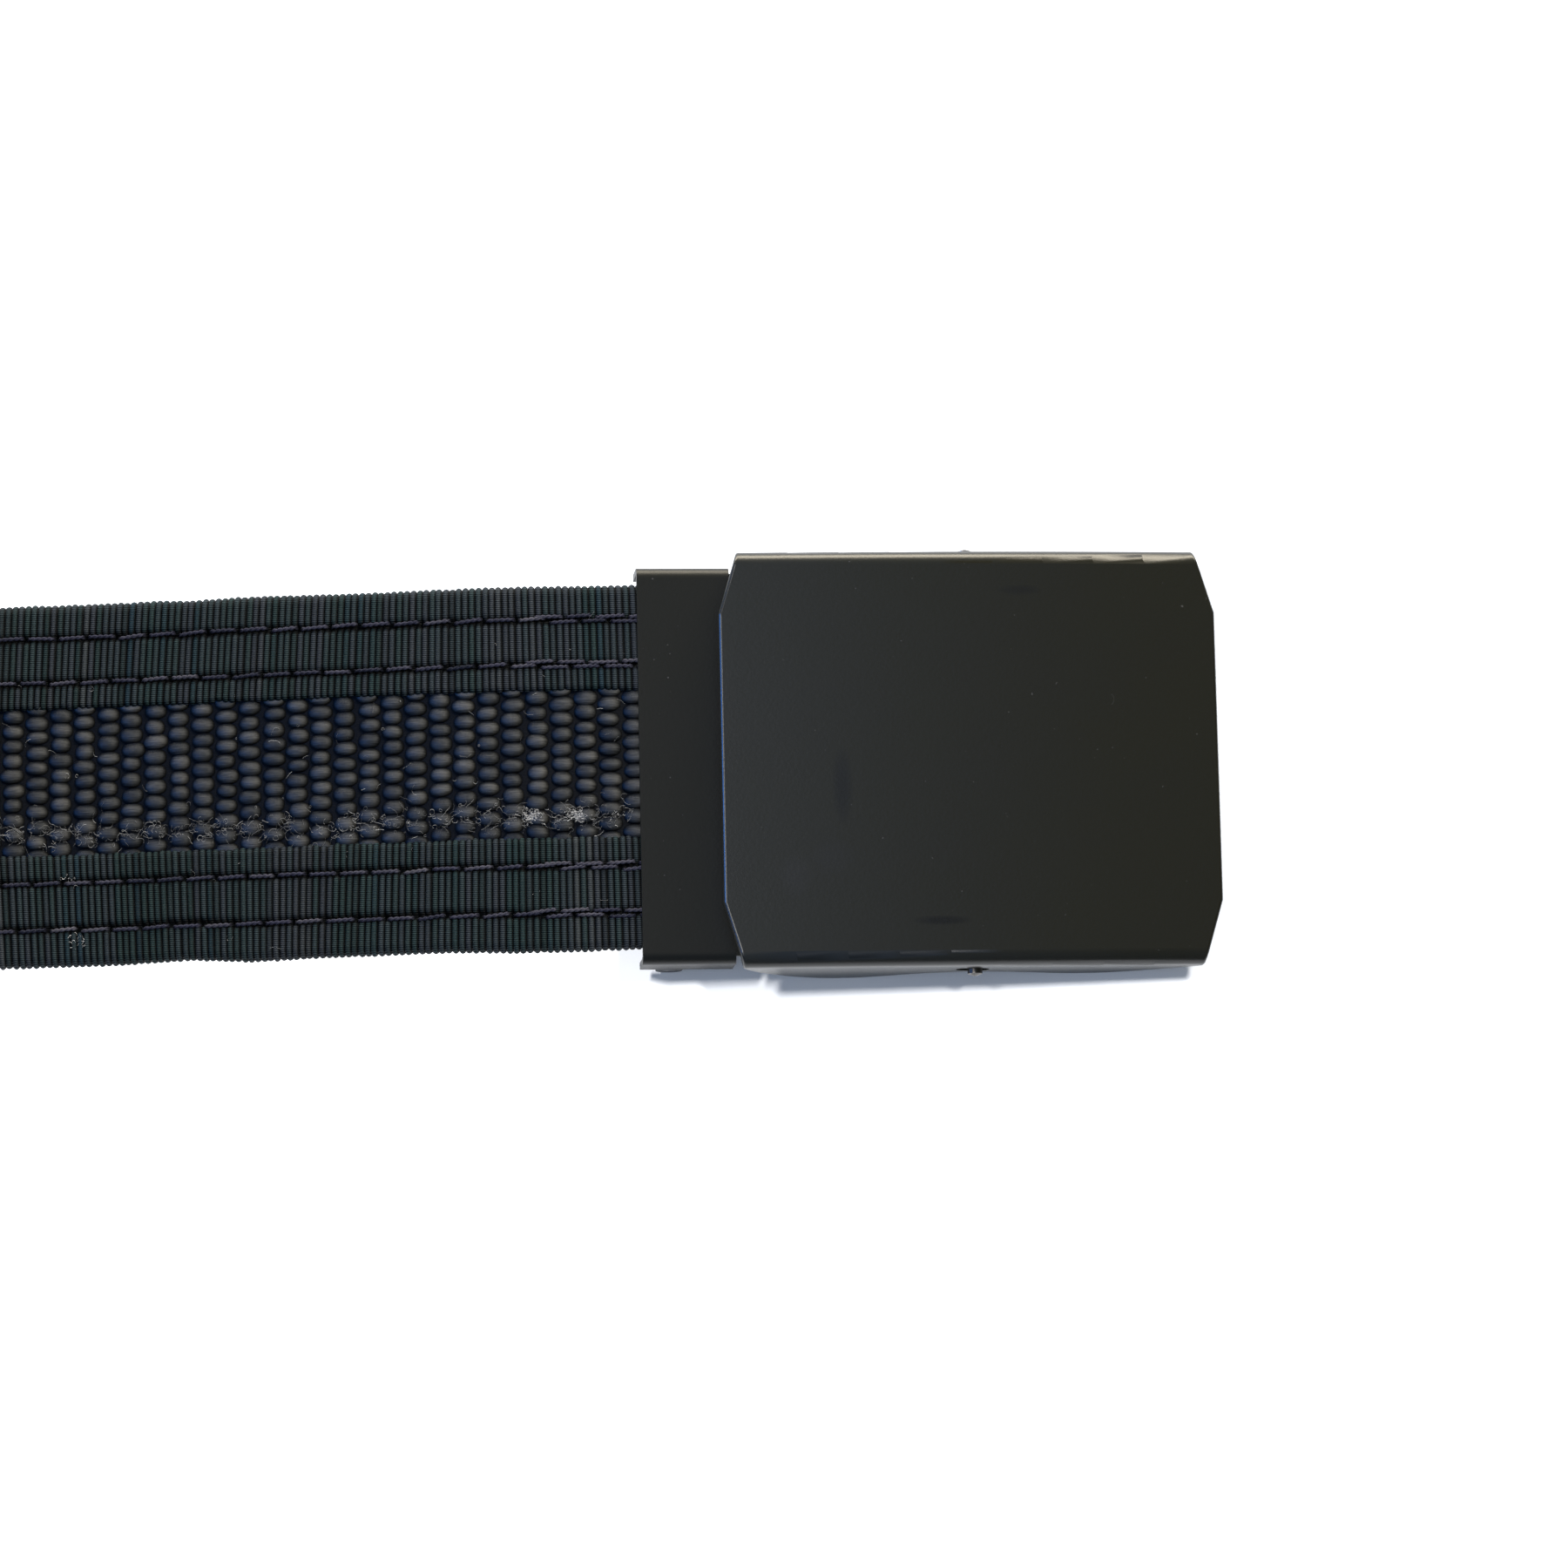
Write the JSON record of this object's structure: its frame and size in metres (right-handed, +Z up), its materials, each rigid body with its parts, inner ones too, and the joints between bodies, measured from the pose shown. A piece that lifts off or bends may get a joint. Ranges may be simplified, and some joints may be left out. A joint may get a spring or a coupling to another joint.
{
  "type": "webbing belt",
  "caption": "Rolled 50 mm webbing belt with taped edges, a crowned plate buckle that locks the free strap with a sliding roller, a toothed end clamp and a metal tip.",
  "frame": {"origin": "middle of the belt's footprint, on the surface that it lies on", "axes": "+X along the belt towards the buckle's free end, +Y across the strap, +Z up out of the buckle's face"},
  "size_m": [0.2465, 0.0582, 0.0758],
  "materials": {
    "black_plate": "satin black coat on steel",
    "black_frame": "satin black coat on steel",
    "bare_steel": "blackened steel",
    "webbing": "coarse woven black webbing",
    "tape": "ribbed black tape",
    "thread": "twisted navy thread"
  },
  "bodies": {
    "belt": {"face_plate": "black_plate", "back_frame": "black_frame", "clamp_pin": "bare_steel", "core_webbing": "webbing", "upper_edge_binding": "tape", "lower_edge_binding": "tape", "upper_outer_needle_thread": "thread", "upper_outer_bobbin_thread": "thread", "upper_inner_needle_thread": "thread", "upper_inner_bobbin_thread": "thread", "lower_inner_needle_thread": "thread", "lower_inner_bobbin_thread": "thread", "lower_outer_needle_thread": "thread", "lower_outer_bobbin_thread": "thread", "belt_tip": "black_plate"},
    "axle": {"roller_axle": "bare_steel"},
    "roller": {"locking_roller": "bare_steel"},
    "clamp": {"end_clamp": "black_frame"}
  },
  "joints": [
    {"name": "roller_slide", "type": "slide", "parent": "belt", "child": "axle", "axis": [0.9952, 0, -0.0976], "range_m": [-0.0015, 0.0009]},
    {"name": "roller_spin", "type": "hinge", "parent": "axle", "child": "roller", "pos_m": [0.0898, 0, 0.00635], "axis": [0, 1, 0], "continuous": true},
    {"name": "clamp_hinge", "type": "hinge", "parent": "belt", "child": "clamp", "pos_m": [0.04875, 0, 0.00223], "axis": [0, 1, 0], "range_deg": [0, 100]}
  ]
}
